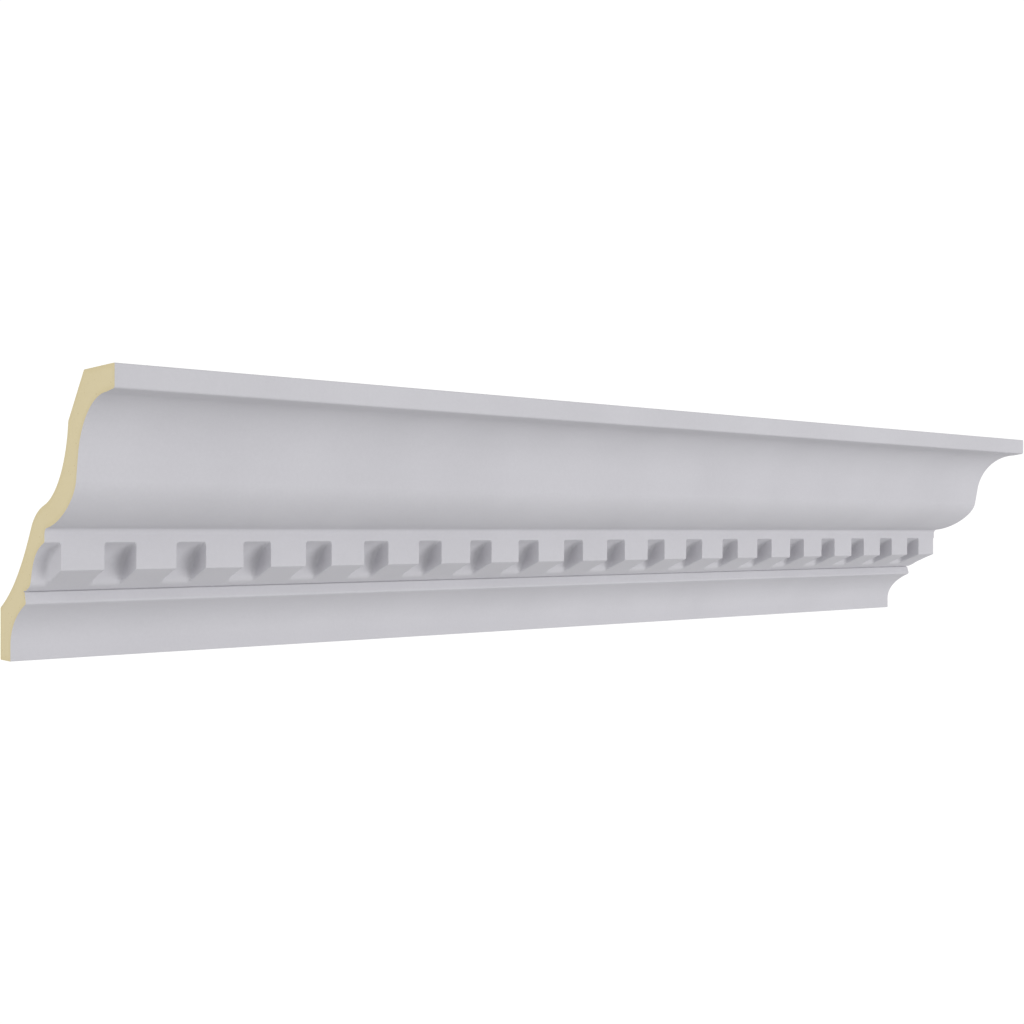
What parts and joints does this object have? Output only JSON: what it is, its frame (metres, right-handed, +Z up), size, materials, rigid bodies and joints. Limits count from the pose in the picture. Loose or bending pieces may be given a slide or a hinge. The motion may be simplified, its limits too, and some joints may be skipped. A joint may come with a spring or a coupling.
{
  "type": "cornice moulding length",
  "caption": "Straight length of crown cornice with a cavetto and ovolo over a row of dentils, a small listel, a cove and a plain foot, cut square at both ends.",
  "frame": {"origin": "middle of the flat land that lies against the wall, half way along the run", "axes": "+X along the run, +Y into the wall, +Z up to the ceiling"},
  "size_m": [0.6096, 0.1124, 0.1115],
  "materials": {
    "primed_face": "factory primer, cool pale grey white, matt to soft sheen, over rigid moulded foam; the two saw-cut ends show the pale yellow foam and the back is bare moulded foam skin"
  },
  "bodies": {
    "root": {"cornice_moulding": "primed_face"}
  },
  "joints": []
}
